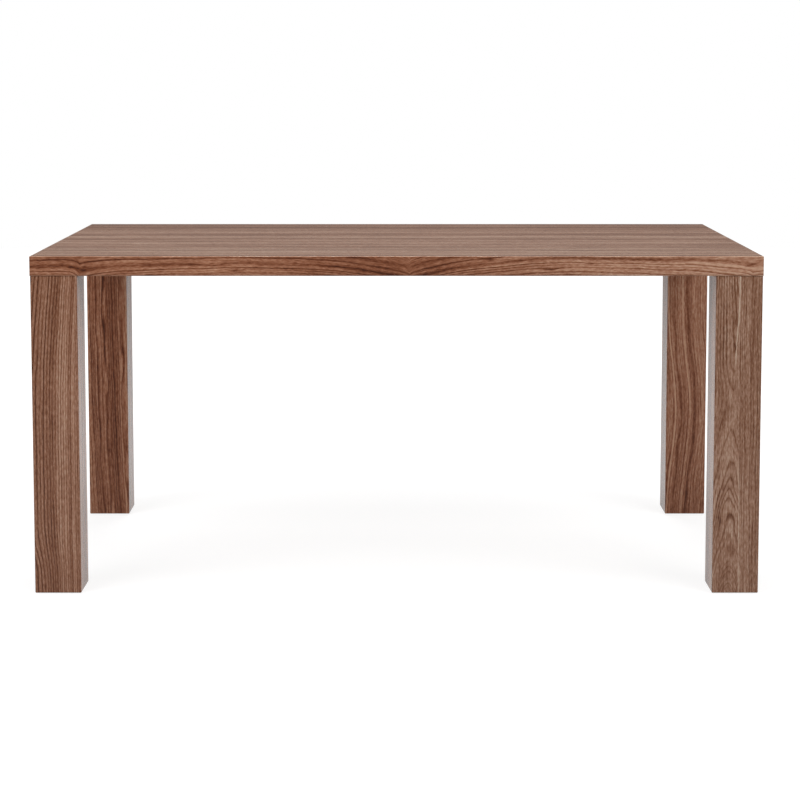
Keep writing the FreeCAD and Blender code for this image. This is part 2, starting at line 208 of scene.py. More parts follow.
def ringed(tree, tone, ring, grain, bold):
    """A leaf's tone, with bands of paler and darker years added and late lines taken away.

    A late line lies towards the end of each ring. It is stronger in some years than in others, and breaks
    up along the grain. The bands and the lines are both multiplied by how bold the leaf is."""
    late = ramp(tree, calc(tree, "FRACT", ring), LATE_WOOD)
    year = ring_noise(tree, ring, per_ring=0.83)
    breaks = stretched_noise(tree, grain, across=60, along=5, detail=2)
    strength = calc(tree, "MULTIPLY_ADD", calc(tree, "ADD", year, breaks), LINE_GAIN, LINE_START)
    strength = add(tree, "ShaderNodeClamp", {"Value": strength}).outputs[0]
    line = calc(tree, "MULTIPLY", late, calc(tree, "MULTIPLY", strength, bold))
    years = centred(tree, ring_noise(tree, ring, per_ring=0.23, detail=2), BAND_DEPTH)
    light = calc(tree, "ADD", tone, calc(tree, "MULTIPLY", years, bold))
    return calc(tree, "SUBTRACT", light, calc(tree, "MULTIPLY", line, LINE_DEPTH))


print(f"late lines of {len(LATE_WOOD)} stops ready")

# %% [markdown]
# The rest of the wood is the same in every year: clouds, fibres, threads and flecks, each a noise with
# shorter features than the last, and pores. Pictures of wood could be laid on instead, but they repeat,
# and know nothing of the rings. The lacquer is thin, so fibres and pores show in its gloss and relief.

# %% The walnut material
CLOUD_DEPTH = 0.4
FIBRE_DEPTH = 0.4
THREAD_DEPTH = 0.6
FLECK_DEPTH = 0.85
PORE_DEPTH = 0.12
PORE_STOPS = [(0.6, 0.0), (0.7, 1.0)]
BROWNS = [
    (0.0, (0.055, 0.012, 0.004)),
    (0.25, (0.126, 0.034, 0.012)),
    (0.5, (0.222, 0.078, 0.037)),
    (0.75, (0.345, 0.152, 0.085)),
    (1.0, (0.475, 0.255, 0.155)),
]
PINK = (0.90, 1.38, 1.82, 1.0)
LACQUER_IOR = 1.28
LACQUER_ROUGHNESS = 0.22
FIBRE_ROUGHNESS = 0.10
FIBRE_RELIEF = 0.6
RELIEF_STRENGTH = 0.25
RELIEF_HEIGHT = 0.00015


def walnut():
    """Lacquered walnut veneer, drawn from each point's ring number, place in the leaf and tone.

    The lightness is the tone with its rings, plus four layers of noise, less the pores. A ramp of browns
    turns it into a colour, and the leaf's blush multiplies that towards pink."""
    material, tree, shader = new_material("walnut_veneer")
    ring = add(tree, "ShaderNodeAttribute", attribute_name="ring").outputs["Fac"]
    grain = add(tree, "ShaderNodeAttribute", attribute_name="grain").outputs["Vector"]
    leaf = add(tree, "ShaderNodeAttribute", attribute_name="leaf").outputs["Vector"]
    tone, blush, bold = add(tree, "ShaderNodeSeparateXYZ", {"Vector": leaf}).outputs

    cloud = stretched_noise(tree, grain, across=32, along=2.2, detail=2)
    fibre = stretched_noise(tree, grain, across=250, along=6)
    thread = stretched_noise(tree, grain, across=900, along=22)
    fleck = stretched_noise(tree, grain, across=400, along=90, detail=2)
    pore = ramp(tree, stretched_noise(tree, grain, across=1300, along=60, detail=1), PORE_STOPS)
    layers = ((cloud, CLOUD_DEPTH), (fibre, FIBRE_DEPTH), (thread, THREAD_DEPTH), (fleck, FLECK_DEPTH))
    light = ringed(tree, tone, ring, grain, bold)
    for noise, depth in layers:
        light = calc(tree, "ADD", light, centred(tree, noise, depth))
    light = calc(tree, "SUBTRACT", light, calc(tree, "MULTIPLY", pore, PORE_DEPTH))

    # A Mix node for colours takes them at inputs 6 and 7, and gives its result at output 2.
    settings = {"data_type": "RGBA", "blend_type": "MULTIPLY"}
    pink = add(tree, "ShaderNodeMix", {0: blush, 6: ramp(tree, light, BROWNS), 7: PINK}, **settings)
    rough = calc(tree, "MULTIPLY_ADD", fibre, FIBRE_ROUGHNESS, LACQUER_ROUGHNESS)
    relief = calc(tree, "SUBTRACT", centred(tree, fibre, FIBRE_RELIEF), pore)
    normal = bumped(tree, relief, RELIEF_STRENGTH, RELIEF_HEIGHT)
    finish = {"Base Color": pink.outputs[2], "Roughness": rough, "IOR": LACQUER_IOR, "Normal": normal}
    fill(tree, shader, finish)
    return material


walnut_veneer = walnut()
print(f"walnut: {len(walnut_veneer.node_tree.nodes)} nodes")

# %% [markdown]
# ## From a grid to a board
# Every board here has a show face and a back face, and both are grids with the same number of rows and
# columns. Two such grids, joined round their rims by a strip of quads, make a closed board, whatever the
# shapes of the faces. A cube with a bevel would look alike, but it has too few points to carry the wood.

# %% Board helper
SHARP = math.radians(25)


def triples(*values):
    """Three arrays, or numbers for all points, stacked into three values for each point."""
    return np.stack(np.broadcast_arrays(*values), axis=-1)


def board(name, face, back, fields):
    """A closed board between two grids of points, with fields of values on its points.

    The face is laid as quads, the back as quads turned round, and the loop round the rim of the grid is
    joined to the same loop on the back. A field has one value, or three, for each point of the grid."""
    rows, columns = face.shape[:2]
    count = rows * columns
    index = np.arange(count).reshape(rows, columns)
    around = [index[:-1, :-1], index[:-1, 1:], index[1:, 1:], index[1:, :-1]]
    quads = np.stack(around, axis=-1).reshape(-1, 4)
    loop = np.concatenate([index[0], index[1:, -1], index[-1, -2::-1], index[-2:0:-1, 0]])
    following = np.roll(loop, -1)
    rim = np.stack([following, loop, loop + count, following + count], axis=-1)
    faces = np.concatenate([quads, quads[:, ::-1] + count, rim])
    points = np.concatenate([face.reshape(-1, 3), back.reshape(-1, 3)])
    mesh = bpy.data.meshes.new(name)
    mesh.from_pydata(points, [], faces)
    for field, values in fields.items():
        kind = "FLOAT_VECTOR" if values.ndim == 3 else "FLOAT"
        both = np.concatenate([values.reshape(count, -1)] * 2).astype(np.float32)
        attribute = mesh.attributes.new(field, kind, "POINT")
        attribute.data.foreach_set("vector" if kind == "FLOAT_VECTOR" else "value", both.ravel())
    mesh.shade_smooth()
    mesh.set_sharp_from_angle(angle=SHARP)
    mesh.materials.append(walnut_veneer)
    return new_object(name, mesh)


def dress(piece, node):
    """Lets a piece ride on the table in the place of a solid, with its finish."""
    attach(piece, "table")
    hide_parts(node)


print("board helper ready")

# %% [markdown]
# ## Rounded edges
# A cabinet maker takes the sharpness off every edge, by a millimetre or two. A Bevel modifier could do
# that, but here two pieces often share one edge, and each has only a part of its round. On a grid, a
# round is a few more rows close to an end, each a little lower than the last, and it can stop anywhere.

# %% Rolls and turns
ROLL_STEPS = 4


def turned(points, quarter, centre):
    """Points turned by quarter turns about an upright axis through a centre."""
    angle = quarter * math.pi / 2
    cosine, sine = round(math.cos(angle)), round(math.sin(angle))
    x, y, z = np.moveaxis(points, -1, 0)
    return triples(centre[0] + cosine * x - sine * y, centre[1] + sine * x + cosine * y, z)


def roll(radius, depth):
    """How far short of an end, and how far down, a surface lies while it rolls over that end.

    At an angle from its flat, the surface is a radius times one less the angle's sine short of the end,
    and a radius times one less its cosine down. The roll stops at a depth, where another piece goes on."""
    angle = np.linspace(0, math.acos(1 - depth / radius), ROLL_STEPS + 1)[1:]
    return radius * (1 - np.sin(angle)), radius * (1 - np.cos(angle))


def rolled_span(low, high, count, first=None, last=None):
    """Places along a span, and how far down its surface is at each.

    The flat has so many places, evenly spaced. A (radius, depth) roll at either end adds its own."""
    start, end = low + (first[0] if first else 0), high - (last[0] if last else 0)
    places, drops = np.linspace(start, end, count), np.zeros(count)
    if first:
        short, down = roll(*first)
        places, drops = np.append((low + short)[::-1], places), np.append(down[::-1], drops)
    if last:
        short, down = roll(*last)
        places, drops = np.append(places, high - short), np.append(drops, down)
    return places, drops


print(f"rolls of {ROLL_STEPS} steps ready")

# %% [markdown]
# ## Growth rings
# A log is a stack of rings round its heart. Take a flat slice at some depth beside the heart: a point
# that lies so far across the slice is the hypotenuse away from it, and the ring number is that distance
# over the width of a year. When the depth changes along the slice, because trunks taper and bend, the
# rings close into arches. Good and poor years make them uneven. One whole log could be carved up for
# the table, but a formula for each leaf lets each follow the photograph. From here on, s is a point's
# place across the grain and t its place along it, both in metres.

# %% Bells, steps and waves
TURN = 2 * math.pi
WAVES = 4
RIPPLE_LENGTHS = (0.5, 0.3, 0.18, 0.11)
RIPPLE_WIDTHS = (0.03, 0.08)


def bell(x, centre, width):
    """A smooth bump of height 1: e to the minus square of the distance from its centre over its width."""
    return np.exp(-(((x - centre) / width) ** 2))


def step(x, place, softness):
    """A smooth step from 0 up to 1 at a place, or from 1 down to 0 where the softness is negative."""
    return 1 / (1 + np.exp((place - x) / softness))


def spots(s, t, places, width, length):
    """How near each point is to one of some (across, along) places: a bell across times one along."""
    return sum(bell(s, across, width) * bell(t, along, length) for across, along in places)


def wander(t, seed, longest=0.9):
    """A slow, smooth drift along the grain: a sum of sine waves, each shorter and lower than the last."""
    draw = np.random.default_rng(seed)
    total = np.zeros_like(t)
    for k in range(1, WAVES + 1):
        total += np.sin(TURN * t * k / longest + draw.uniform(0, TURN)) / k
    return total / 2


def ripple(s, t, seed):
    """Small unevenness along and across the grain: the mean of four slanted sine waves."""
    draw = np.random.default_rng(seed)
    total = np.zeros_like(s)
    for along in RIPPLE_LENGTHS:
        slant = draw.choice([-1, 1]) / draw.uniform(*RIPPLE_WIDTHS)
        total += np.sin(TURN * (t / along + slant * s + draw.uniform()))
    return total / len(RIPPLE_LENGTHS)


print("bells, steps and waves ready")

# %% Ring numbers of a slice
CYCLES = ((0.45, 0.9), (0.25, 2.3))
RIPPLE_RINGS = 0.25
LEAF_SHIFT = 1.7
TONE_DRIFT = 0.02


def uneven(even, seed):
    """Ring numbers pushed to and fro by slow sine waves, as good and poor years come and go.

    Each wave has a size in rings, and an angle that it goes on by in a ring."""
    phases = np.random.default_rng(seed).uniform(0, TURN, len(CYCLES))
    rings = even
    for (size, pace), phase in zip(CYCLES, phases):
        rings = rings + size * np.sin(pace * even + phase)
    return rings


def sliced_log(s, t, heart, depth, year, bend=0.004, seed=0):
    """Ring numbers of a slice: the hypotenuse of the distance across and the depth, over a year's width.

    Heart and depth are numbers, or arrays along the grain where the log leans or tapers. The bend adds a
    slow drift sideways, and a ripple makes every line waver."""
    across = s - heart - bend * wander(t, seed)
    rings = np.sqrt(across**2 + depth**2) / year
    return uneven(rings, seed) + RIPPLE_RINGS * ripple(s, t, seed)


def streaks(s, t, stripes, seed, sway=0.004):
    """How much lighter or darker stripes along the grain make a leaf.

    Each is a bell across it, with a place, a width and a strength, and all sway together along it."""
    shifted = s - sway * wander(t, seed)
    return sum(strength * bell(shifted, place, width) for place, width, strength in stripes)


def leaf_fields(t, number, s, rings, tone, blush, bold):
    """The fields that the walnut reads: ring number, place in the leaf, and the leaf's own character.

    The place across the grain is where a point lay before the grain was bent, so that fibres follow the
    bends. Each leaf's number shifts its place, so that no two have the same fibres. The character is the
    tone, the blush and how bold the lines are."""
    shift = LEAF_SHIFT * number
    grain = triples(s + shift, t + shift, shift)
    return {"ring": rings, "grain": grain, "leaf": triples(tone, blush, bold)}


print("ring formulas ready")

# %% [markdown]
# ## The top
# The top is covered by five leaves of straight-grained veneer, side by side, and by strips round its edge.
# One plain board would do for the shape, but each leaf comes from its own place in the log, so each is a
# board of its own. The leaves roll over the arris a little, down to where the edge strips start, and there
# a highlight is painted into the tone. Broad stripes, paler and darker, run along each leaf.

# %% Stripes of the top
LEAVES = 5
STRIPES = 11
STRIPE_WIDTHS = (0.004, 0.016)
DARK_AND_PALE = (-1, 0.7)

top_low, top_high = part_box("top_face_veneer")
veneer = top_high.z - top_low.z
leaf_width = (top_high.y - top_low.y) / LEAVES


def top_stripes(seed, most):
    """Random stripes for a leaf of the top: where across it, how wide, and how much lighter or darker."""
    draw = np.random.default_rng(seed)
    places = draw.uniform(-leaf_width / 2, leaf_width / 2, STRIPES)
    widths = draw.uniform(*STRIPE_WIDTHS, STRIPES)
    strengths = draw.choice(DARK_AND_PALE, STRIPES) * most
    return list(zip(places, widths, strengths))


print(f"{STRIPES} stripes for each of {LEAVES} leaves")

# %% The top's leaves
ARRIS = 0.0018
ROLL_SHARE = 0.98
# A painted highlight: how much paler the tone gets where an edge rolls over the arris.
ARRIS_HIGHLIGHT = 0.5
FRONT_LIGHT = 0.1
FRONT_REACH = 0.05
TOP_COLUMNS = 201
LEAF_ROWS = 61
LEAF_TONES = (0.63, 0.65, 0.61, 0.605, 0.57)
LEAF_BLUSHES = (0.82, 0.77, 0.77, 0.75, 0.75)
STRIPE_DEPTHS = (0.15, 0.15, 0.13, 0.10, 0.12)
TOP_BOLD = 0.8
TOP_HEART = -0.16
TOP_DEPTH = 0.03
TOP_TAPER = 0.01
TOP_YEAR = 0.006
TOP_BEND = 0.006
LOG_SEED = 20
DRIFT_SEED = 40
STRIPE_SEED = 60
SWAY_SEED = 70

top_roll = (ARRIS, ROLL_SHARE * veneer)


def top_leaf(k):
    """A leaf of the top's veneer, as long as the top: a flat face that rolls over where it meets the arris.

    The slice lies well to one side of the heart, so its lines are nearly straight. The tone rises with the
    root of how far the arris is rolled, a painted highlight, and a little towards the front edge."""
    start = top_low.y + k * leaf_width
    first = top_roll if k == 0 else None
    last = top_roll if k == LEAVES - 1 else None
    x, drop_x = rolled_span(top_low.x, top_high.x, TOP_COLUMNS, top_roll, top_roll)
    y, drop_y = rolled_span(start, start + leaf_width, LEAF_ROWS, first, last)
    gx, gy = np.meshgrid(x, y)
    drop = np.maximum(*np.meshgrid(drop_x, drop_y))
    face = triples(gx, gy, top_high.z - drop)
    back = triples(gx, gy, top_low.z)
    s = gy - start - leaf_width / 2
    depth = TOP_DEPTH + TOP_TAPER * gx
    rings = sliced_log(s, gx, TOP_HEART, depth, TOP_YEAR, TOP_BEND, seed=LOG_SEED + k)
    tone = LEAF_TONES[k] + TONE_DRIFT * wander(gx, DRIFT_SEED + k, longest=1.6)
    tone += streaks(s, gx, top_stripes(STRIPE_SEED + k, STRIPE_DEPTHS[k]), SWAY_SEED + k)
    # The tone rises over the rolled arris, a painted highlight, and a little towards the front edge.
    tone += ARRIS_HIGHLIGHT * np.sqrt(drop / veneer) + FRONT_LIGHT * np.exp((top_low.y - gy) / FRONT_REACH)
    fields = leaf_fields(gx, k, s, rings, tone, LEAF_BLUSHES[k], TOP_BOLD)
    dress(board(f"top_leaf_{k + 1}", face, back, fields), "top_face_veneer")


for k in range(LEAVES):
    top_leaf(k)
print(f"{LEAVES} leaves of {leaf_width * 1000:.0f} mm, {veneer * 1000:.1f} mm thick")

# %% [markdown]
# ## The edge of the top
# Strips of veneer run round the edge, under the leaves of the top. A strip is a profile, flat with a
# roll above and below, carried along one side of the table. A formula for each side would do, but one
# is enough: all four are made as if they were the front one, and are then turned to their sides.

# %% A strip of the edge
SIDES = ("front", "right", "back", "left")
LOWER_ARRIS = 0.0010
STRIP_END = (0.0006, 0.0005)
STRIP_ROWS = 37
STRIP_COLUMNS = 401
# A painted shadow line just below the arris: where it lies, how wide it is and how dark.
SHADOW_LINE_PLACE = 0.003
SHADOW_LINE_WIDTH = 0.0012
PAINTED_SHADOW_LINE = 0.10
# Painted shade along the lower edge, which faces down: how far it reaches, how dark it is and how much
# blush.
LOWER_SHADE_REACH = 0.003
PAINTED_LOWER_SHADE = 0.24
LOWER_SHADE_BLUSH = 0.5
TONE, BLUSH = 0, 1


def strip_roll(radius):
    """The strip's part of a round edge, as a (radius, depth) roll that ends one veneer short of its end.

    The depth there is the radius less the root of a veneer times two radii less a veneer."""
    return radius, radius - math.sqrt(veneer * (2 * radius - veneer))


def edge_strip(side, figure, number, columns=STRIP_COLUMNS):
    """A strip of edge veneer: a flat face that rolls over above and below, carried along the edge.

    Its tone rises over the arris, a painted highlight, dips in a painted shadow line below that, and falls,
    with more blush, in painted shade along the lower edge, which faces down. The front and back strips
    cover the ends of the others, and are eased there."""
    quarter = SIDES.index(side)
    lengthwise = quarter % 2 == 0
    low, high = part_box(f"{side}_edge_veneer")
    half_length = (high.x - low.x) / 2 if lengthwise else (high.y - low.y) / 2
    out = max(abs(v) for v in ((low.y, high.y) if lengthwise else (low.x, high.x)))
    lower, upper = strip_roll(LOWER_ARRIS), strip_roll(ARRIS)
    end = STRIP_END if lengthwise else None
    z, inward = rolled_span(low.z - veneer, high.z + veneer, STRIP_ROWS, lower, upper)
    x, drop = rolled_span(-half_length, half_length, columns, end, end)
    gx, gz = np.meshgrid(x, z)
    gap, pull = np.meshgrid(drop, inward)
    face = triples(gx, -out + np.maximum(gap, pull), gz)
    back = triples(gx, -out + veneer, gz)
    s = gz - (low.z + high.z) / 2
    fields = leaf_fields(gx, number, *figure(s, gx))
    above, below = high.z + veneer - gz, gz - low.z + veneer
    # Painted shade: darker and pinker towards the lower edge.
    lower_shade = np.exp(-below / LOWER_SHADE_REACH)
    leaf = fields["leaf"]
    # A painted highlight where the strip rolls over the arris.
    leaf[..., TONE] += ARRIS_HIGHLIGHT * np.where(above < ARRIS, pull / upper[1], 0)
    # A painted shadow line below the arris, and painted shade along the lower edge.
    leaf[..., TONE] -= PAINTED_SHADOW_LINE * bell(above, SHADOW_LINE_PLACE, SHADOW_LINE_WIDTH) + PAINTED_LOWER_SHADE * lower_shade
    leaf[..., BLUSH] += LOWER_SHADE_BLUSH * lower_shade
    face, back = turned(face, quarter, (0, 0)), turned(back, quarter, (0, 0))
    dress(board(f"{side}_edge_strip", face, back, fields), f"{side}_edge_veneer")


print(f"strips of {STRIP_ROWS} rows ready")

# %% [markdown]
# ## The front strip
# The strip in front shows the liveliest wood of the table. It is cut across the fork of a branch and
# opened like a book about the middle, so that the lines fall together into a V there and again at a
# knot near each end, and rise into long arches between. A painted texture would show that too, but a
# formula keeps the lines sharp at any distance. First comes the height of each point over one of those
# lines. RISE, FALL and RECOVERY have a number for the left of the fork and one for the right.

# %% The lines of the front strip
FORK = 0.028
LEFT_KNOT = -0.690
RIGHT_KNOT = 0.776
STEEPNESS = 0.6
RISE = (0.038, 0.048)
FALL = (0.45, 0.32)
FALL_HEIGHT = 0.11
RECOVERY = (0.6, 0.1)
RECOVERY_LENGTH = 0.012


def fork_height(s, t):
    """How high each point lies over a line that rises from the fork and falls to a knot.

    That line is the sine of the way from the fork to the knot, to a power that makes it steep at the
    fork. Towards the knot it falls less near the upper edge, and past the knot it recovers."""
    left = t < FORK
    way = np.abs(t - FORK)
    reach = np.where(left, FORK - LEFT_KNOT, RIGHT_KNOT - FORK)
    part = way / reach
    arch = np.abs(np.sin(math.pi * np.minimum(part, 1))) ** STEEPNESS
    arch += np.where(left, *RECOVERY) * (1 - np.exp(-np.maximum(way - reach, 0) / RECOVERY_LENGTH))
    arch = np.where(part < 0.5, arch, 1 - (1 - arch) * (np.where(left, *FALL) - s / FALL_HEIGHT))
    return s - np.where(left, *RISE) * arch


print(f"fork at {FORK} m, knots at {LEFT_KNOT} m and {RIGHT_KNOT} m")

# %% [markdown]
# Then come the marks: a dark stroke along the line from the fork's foot, another along the crest of the
# left arch, pin knots that push the lines aside, and dark spots in all the knots. Each could be a small
# piece of its own, but on the real strip it is only darker wood, so it is taken from the tone.

# %% The front strip
FIRST_STRIP = 11
FRONT_COLUMNS = 801
FRONT_YEAR = 0.0088
FRONT_BEND = 0.002
FRONT_TONE = 0.82
FRONT_BLUSH = 0.2
FRONT_BOLD = 0.88
STROKE_HEIGHT = -0.0216
STROKE_WIDTH = 0.0035
STROKE_SHADE = 0.24
INSIDE_SHADE = 0.06
INSIDE_FAINT = 0.6
CREST_HEIGHT = -0.0422
CREST_PLACE = -0.235
CREST_SHADE = 0.3
MIDDLE_SHADE = 0.17
RIGHT_FROM = 0.25
RIGHT_RATE = 6
RIGHT_LIGHT = 0.09
RIGHT_BLUSH = 0.1
RIGHT_FAINT = 0.05
LEFT_PLACE = -0.3
LEFT_FAINT = 0.25
KNOT_SHADE = 0.45
PIN_PUSH = 0.45
PUSH_SHADE = 0.1
PIN_SHADE = 0.28
KNOT_SPOTS = (
    (-0.002, -0.708),
    (-0.005, -0.692),
    (-0.001, -0.680),
    (-0.009, -0.684),
    (0.004, 0.774),
    (0.000, 0.764),
)
PINS = (
    (0.006, -0.402),
    (-0.010, -0.352),
    (0.006, -0.222),
    (0.012, 0.205),
    (-0.006, 0.337),
    (0.006, 0.424),
)


def forked(s, t):
    """The front strip: rings are the height over the fork's line, in years, and are pushed by pin knots.

    The stroke, the crest, the pin knots and the spots are bells that darken the tone. The wood over the
    stroke, in the fork, has few lines. The strip is darker in the middle, paler and pinker on the right."""
    way = np.abs(t - FORK)
    height = fork_height(s, t)
    pushed = spots(s, t, PINS, width=0.005, length=0.018)
    bent = height + FRONT_BEND * wander(t, seed=3, longest=0.5)
    rings = uneven(bent / FRONT_YEAR, seed=5) + PIN_PUSH * pushed

    stroke = bell(way, centre=0.055, width=0.045) * bell(height, STROKE_HEIGHT, STROKE_WIDTH)
    inside = bell(way, centre=0, width=0.09) * step(height, STROKE_HEIGHT, STROKE_WIDTH / 2)
    crest = bell(height, CREST_HEIGHT, width=0.0016) * bell(t, CREST_PLACE, width=0.09)
    right = np.tanh(RIGHT_RATE * (t - RIGHT_FROM))
    tone = FRONT_TONE + TONE_DRIFT * wander(t, seed=8, longest=1.2)
    tone += RIGHT_LIGHT * right - MIDDLE_SHADE * bell(t, centre=0, width=0.3)
    tone -= INSIDE_SHADE * inside + STROKE_SHADE * stroke + CREST_SHADE * crest + PUSH_SHADE * pushed
    tone -= KNOT_SHADE * spots(s, t, KNOT_SPOTS, width=0.0022, length=0.007)
    tone -= PIN_SHADE * spots(s, t, PINS, width=0.0022, length=0.005)
    blush = FRONT_BLUSH + RIGHT_BLUSH * right
    bold = FRONT_BOLD - RIGHT_FAINT * right - INSIDE_FAINT * inside
    bold -= LEFT_FAINT * bell(t, LEFT_PLACE, width=0.12)
    return height, rings, tone, blush, bold


edge_strip("front", forked, FIRST_STRIP, FRONT_COLUMNS)
print(f"front strip with {len(PINS)} pin knots")

# %% [markdown]
# ## The other strips
# The back and the two ends don't show in the photograph. They could have the front's figure again, but
# a maker keeps the best veneer for the front. So they get plain, straight-grained strips, each from its
# own place in the log.

# %% The plain strips
PLAIN_DEPTH = 0.02
PLAIN_TAPER = 0.03
STRIP_TONE = 0.68
STRIP_DRIFT = 0.04


def straight(seed):
    """The figure of a plain strip: a slice beside the heart, at a depth that grows along it."""

    def figure(s, t):
        depth = PLAIN_DEPTH + PLAIN_TAPER * t
        rings = sliced_log(s, t, heart=-0.05, depth=depth, year=0.007, bend=0.01, seed=seed)
        tone = STRIP_TONE + STRIP_DRIFT * wander(t, seed)
        blush, bold = 0.25, 0.9
        return s, rings, tone, blush, bold

    return figure


for number, side in enumerate(SIDES[1:], start=FIRST_STRIP + 1):
    edge_strip(side, straight(number), number)
print(f"plain strips: {', '.join(SIDES[1:])}")

# %% [markdown]
# ## The legs
# A leg is four veneered panels, mitred together into a hollow box. Four plain boards would show a gap at
# the corners once their edges are rounded. So each panel rolls over halfway round its corners, where it
# meets its neighbour on the mitre, and all four are drawn in a little at the foot and at the head.

# %% A leg panel
CORNERS = ("front_left", "front_right", "back_right", "back_left")
CORNER_ROUND = 0.0012
FOOT_ROLL = (0.0020, 0.0020)
HEAD_ROLL = (0.0012, 0.0012)
PANEL_ROWS = 119
PANEL_COLUMNS = 52


def leg_box(corner):
    """The box round the four panels of a leg."""
    lows, highs = zip(*(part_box(f"{corner}_leg_{side}_panel") for side in SIDES))
    return np.min(lows, axis=0), np.max(highs, axis=0)


def leg_panel(corner, side, figure, number, columns=PANEL_COLUMNS):
    """A mitred panel: a profile with rolled corners carried up the leg, drawn in at the foot and the head.

    Each row of the profile is scaled about the leg's axis by one less how far it is drawn in over half the
    leg's width. The back is flat, and as much narrower as the mitres take."""
    low, high = leg_box(corner)
    centre, half = (low + high) / 2, (high[0] - low[0]) / 2
    front_low, front_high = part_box(f"{corner}_leg_front_panel")
    inner = half - (front_high.y - front_low.y)
    mitre = (CORNER_ROUND, CORNER_ROUND * (1 - math.cos(math.pi / 4)))
    across, dip = rolled_span(-half, half, columns, mitre, mitre)
    z, draw_in = rolled_span(low[2], high[2], PANEL_ROWS, FOOT_ROLL, HEAD_ROLL)
    a, gz = np.meshgrid(across, z)
    b, pull = np.meshgrid(half - dip, draw_in)
    shrink = 1 - pull / half
    face = triples(a * shrink, -b * shrink, gz)
    back = triples(np.clip(a / half, -1, 1) * inner, -inner, gz)
    fields = leaf_fields(gz, number, *figure(a, gz))
    quarter = SIDES.index(side)
    face, back = turned(face, quarter, centre), turned(back, quarter, centre)
    dress(board(f"{corner}_leg_{side}_face", face, back, fields), f"{corner}_leg_{side}_panel")


print(f"panels of {PANEL_ROWS} rows ready")

# %% [markdown]
# ## The front left leg
# Its front panel is cut well away from the heart, so that fine lines run up it. They lean to the right
# towards the head, and a branch sweeps them aside at the foot. The lines could be bent one by one. It
# is simpler to work out where each point lay before the bend, and to take its ring number there.

# %% Fine lines
LEAN_FROM = 0.36
LEAN = 0.19
LEAN_SHARE = 0.8
LEAN_LOSS = 4
BRANCH = 0.085
SWEEP = 0.011
SWEEP_MIDDLE = -0.012
SWEEP_FADE = 0.03
YEARS_PER_METRE = 165
YEARS_GROWTH = 550
FINE_RIPPLE = 0.15
FINE_TONE = 0.605
FINE_BOLD = 0.8
BOLD_LOSS = 6
# Painted shade at the foot: how dark it is, and how far up it reaches.
PAINTED_FOOT_SHADE = 0.06
FOOT_SHADE_REACH = 0.1
FINE_STRIPES = [(0.008, 0.004, 0.11), (0.020, 0.005, 0.14), (0.031, 0.003, -0.12), (0.036, 0.003, 0.10)]


def fine_lines(s, t):
    """Front left: lines that lean to the right towards the head, and are swept aside at the foot.

    The lean grows with the square of the height over the leg's middle, and is less on the right. The sweep
    is a smooth step at the foot, which fades across the panel. The years get narrower from left to right:
    rings are the place across times a number per metre that grows with it. The lines get fainter that way
    too, and the foot is darker, a painted shade."""
    lean = LEAN * np.maximum(t - LEAN_FROM, 0) ** 2 * (LEAN_SHARE - LEAN_LOSS * s)
    fading = 1 - np.tanh((s - SWEEP_MIDDLE) / SWEEP_FADE)
    sweep = SWEEP * fading * step(t, BRANCH, softness=-0.02)
    before = s - lean - sweep
    rings = before * (YEARS_PER_METRE + YEARS_GROWTH * before) + FINE_RIPPLE * ripple(before, t, seed=31)
    # The foot is darkened, a painted shade.
    tone = FINE_TONE + TONE_DRIFT * wander(t, seed=31) - PAINTED_FOOT_SHADE * np.exp(-t / FOOT_SHADE_REACH)
    tone += streaks(before, t, FINE_STRIPES, seed=51, sway=0.002)
    blush, bold = 0.5, FINE_BOLD - BOLD_LOSS * s
    return before, rings, tone, blush, bold


print(f"fine lines lean above {LEAN_FROM} m, and are swept aside below {BRANCH} m")

# %% [markdown]
# ## The front right leg
# Its front panel is made of two leaves. On the left one the slice passes close to the heart, and the
# rings close into long hooks above and pointed arches below. The right one is plain. They could be two
# boards, but their joint is so fine that one will do, with different rings on either side of it.

# %% Hooks and arches
JOINT_FOOT = 0.0078
JOINT_LEAN = 0.0083
JOINT_BOW = 0.0098
HOOK_OFFSET = 0.002
HOOK_TIP = 0.7694
HOOK_RATE = 0.0932
HOOK_YEAR = 0.0055
HOOK_RINGS = 2
HOOK_RIPPLE = 0.2
ARCH_HEART = -0.015
ARCH_ROUND = 0.002
ARCH_RATE = 0.0127
ARCH_YEAR = 0.0045
ARCH_RINGS = -8
ARCH_RIPPLE = 0.6
FLANK = 0.008
FLANK_FROM = 0.2
FLANK_GROWTH = 0.1
CHANGE = 0.43


def joint_line(t):
    """Where the joint lies: it leans to the left towards the head, and a bell bows it to the left."""
    return JOINT_FOOT - JOINT_LEAN * t - JOINT_BOW * bell(t, centre=0.49, width=0.12)


def hooked(s, t):
    """Ring numbers of the left leaf: long hooks above, pointed arches below.

    Above, the slice leaves the heart at a steady rate, which gives hooks. Below, the square of its depth
    grows with the height and with the distance across, which gives pointed arches, with flanks that get
    steeper upwards. Between, the two fade into each other, and whole rings are added to both, so that
    they meet with as many."""
    hooks = np.hypot(s - joint_line(t) - HOOK_OFFSET, HOOK_RATE * (HOOK_TIP - t)) / HOOK_YEAR
    hooks += HOOK_RINGS + HOOK_RIPPLE * ripple(s, t, seed=32)
    flank = FLANK + FLANK_GROWTH * np.maximum(t - FLANK_FROM, 0)
    depth = np.sqrt(ARCH_RATE * t + flank * np.hypot(s - ARCH_HEART, ARCH_ROUND))
    pointed = sliced_log(s, t, ARCH_HEART, depth, ARCH_YEAR, bend=0, seed=32)
    pointed += ARCH_RINGS + ARCH_RIPPLE * ripple(s, t, seed=37)
    above = step(t, CHANGE, softness=0.025)
    return above * hooks + (1 - above) * pointed


print(f"hooks above {CHANGE} m, pointed arches below")

# %% [markdown]
# The joint has opened above and below, where it shows as a pale line. A groove in the mesh could show
# that, but the gap is filled with lacquer and flush, so only the tone changes. The lines are boldest in
# the hooks and in one arch.

